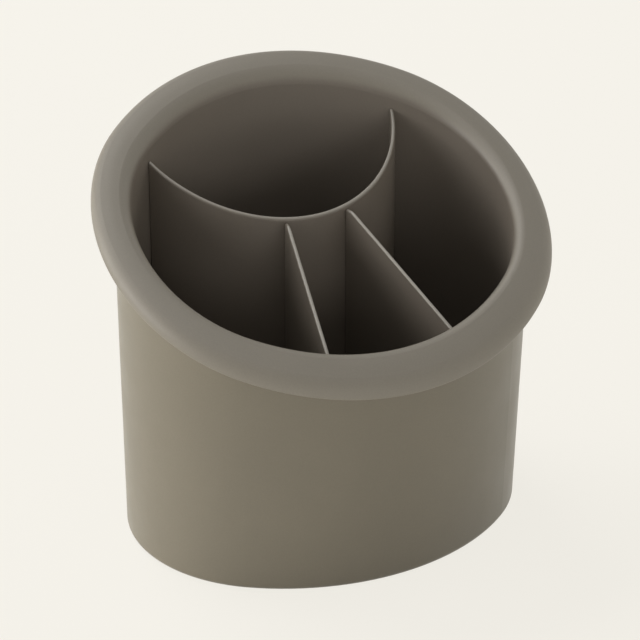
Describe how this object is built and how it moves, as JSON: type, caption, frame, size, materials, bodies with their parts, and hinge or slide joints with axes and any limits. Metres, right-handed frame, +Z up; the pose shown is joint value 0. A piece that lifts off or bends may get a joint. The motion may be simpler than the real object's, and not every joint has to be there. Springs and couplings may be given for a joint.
{
  "type": "cutlery holder",
  "caption": "Oval countertop cutlery holder: a drip cup with a slanted mouth, a lift-out liner with a rolled rim, and loose dividers that part it into compartments.",
  "frame": {"origin": "on the table, under the middle of the mouth, which is the bottom centre of the whole holder's box", "axes": "+Z up, +X to the right along the wide side of the oval, -Y towards the low front side of the mouth"},
  "size_m": [0.1824, 0.152, 0.167],
  "materials": {
    "cup_shell": "satin taupe grey, moulded",
    "liner_shell": "satin taupe grey, moulded",
    "divider": "satin taupe grey, moulded"
  },
  "bodies": {
    "cup": {"cup": "cup_shell"},
    "liner": {"liner": "liner_shell"},
    "curved_divider": {"curved_divider": "divider"},
    "left_fin": {"left_fin": "divider"},
    "right_fin": {"right_fin": "divider"}
  },
  "joints": [
    {"name": "liner_lift", "type": "slide", "parent": "cup", "child": "liner", "axis": [0, 0, 1], "range_m": [0, 0.16]},
    {"name": "divider_lift", "type": "slide", "parent": "liner", "child": "curved_divider", "axis": [0, 0, 1], "range_m": [0, 0.145]},
    {"name": "left_fin_lift", "type": "slide", "parent": "liner", "child": "left_fin", "axis": [0, 0, 1], "range_m": [0, 0.125]},
    {"name": "right_fin_lift", "type": "slide", "parent": "liner", "child": "right_fin", "axis": [0, 0, 1], "range_m": [0, 0.125]}
  ]
}
